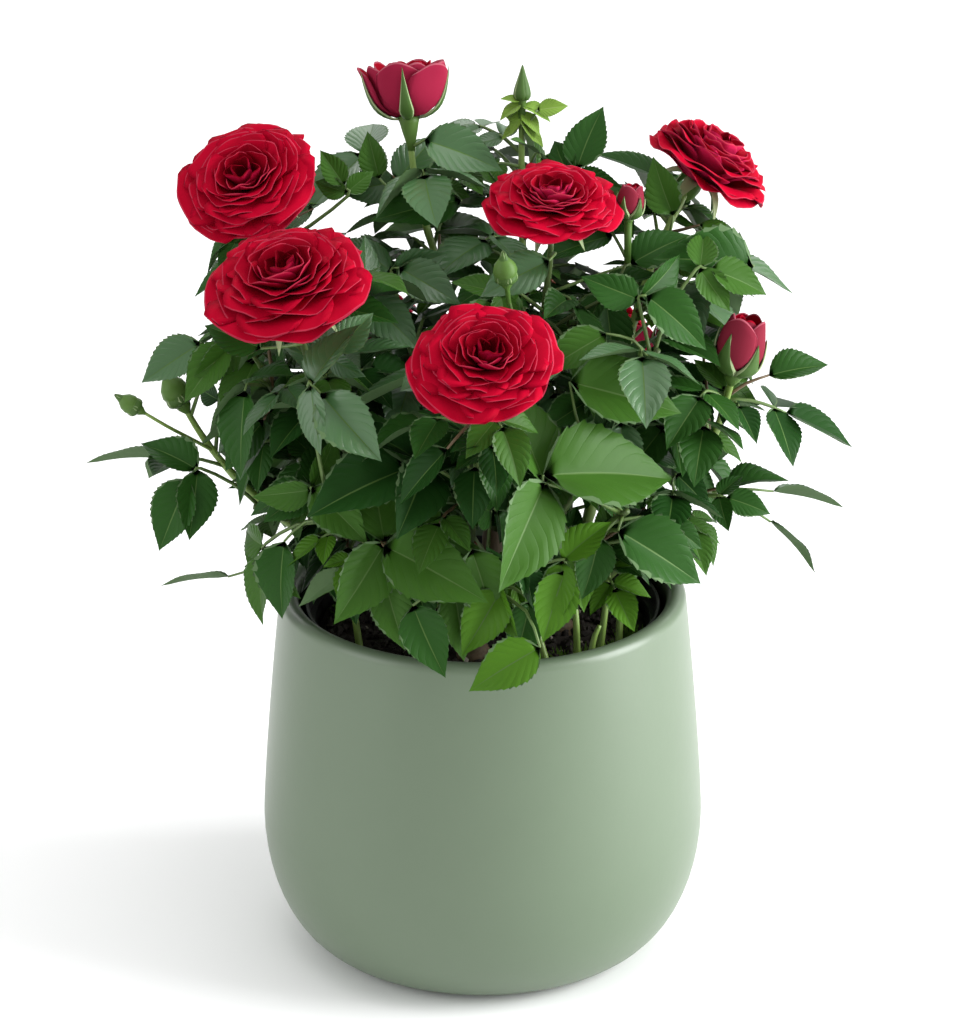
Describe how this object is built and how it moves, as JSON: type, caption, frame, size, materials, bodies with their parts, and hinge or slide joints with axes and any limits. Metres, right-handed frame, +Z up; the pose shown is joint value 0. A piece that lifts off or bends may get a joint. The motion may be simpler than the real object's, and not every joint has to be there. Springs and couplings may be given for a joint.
{
  "type": "potted miniature rose",
  "caption": "Compact rose bush with open blooms, buds and compound leaves on woody stems, in a nursery pot inside a belly-shaped glazed planter.",
  "frame": {"origin": "centre of the planter's flat underside", "axes": "+Z up along the planter's axis; the plant's front towards -Y, +X to its right as seen from the front"},
  "size_m": [0.2526, 0.2039, 0.3018],
  "materials": {
    "planter_glaze": "satin sage-green glaze",
    "liner_plastic": "thin black thermoformed plastic",
    "soil": "moist peaty potting mix with bark crumbs",
    "bark": "young green bark, browner at the foot",
    "foliage": "semi-gloss leaves with red blooms and green buds"
  },
  "bodies": {
    "root": {"planter": "planter_glaze", "nursery_pot": "liner_plastic", "root_ball": "soil", "stem_east": "bark", "stem_north": "bark", "stem_south": "bark", "stem_west": "bark", "cane_back_left_bloom": "bark", "cane_back_left_skirt": "bark", "cane_back_right_bloom": "bark", "cane_back_right_skirt": "bark", "cane_back_skirt": "bark", "cane_centre_left": "bark", "cane_centre_right": "bark", "cane_front_left": "bark", "cane_front_right": "bark", "cane_front_skirt": "bark", "cane_left_bloom": "bark", "cane_left_buds": "bark", "cane_left_middle": "bark", "cane_left_skirt": "bark", "cane_middle_bloom": "bark", "cane_right_bud": "bark", "cane_right_middle": "bark", "cane_right_skirt": "bark", "cane_top_bud": "bark", "cane_top_cup": "bark", "cane_top_middle_bloom": "bark", "cane_upper_left_bloom": "bark", "cane_upper_right_bloom": "bark", "foliage_back_left_bloom": "foliage", "foliage_back_left_skirt": "foliage", "foliage_back_right_bloom": "foliage", "foliage_back_right_skirt": "foliage", "foliage_back_skirt": "foliage", "foliage_centre_left": "foliage", "foliage_centre_right": "foliage", "foliage_front_left": "foliage", "foliage_front_right": "foliage", "foliage_front_skirt": "foliage", "foliage_left_bloom": "foliage", "foliage_left_buds": "foliage", "foliage_left_middle": "foliage", "foliage_left_skirt": "foliage", "foliage_middle_bloom": "foliage", "foliage_right_bud": "foliage", "foliage_right_middle": "foliage", "foliage_right_skirt": "foliage", "foliage_top_bud": "foliage", "foliage_top_cup": "foliage", "foliage_top_middle_bloom": "foliage", "foliage_upper_left_bloom": "foliage", "foliage_upper_right_bloom": "foliage"}
  },
  "joints": []
}
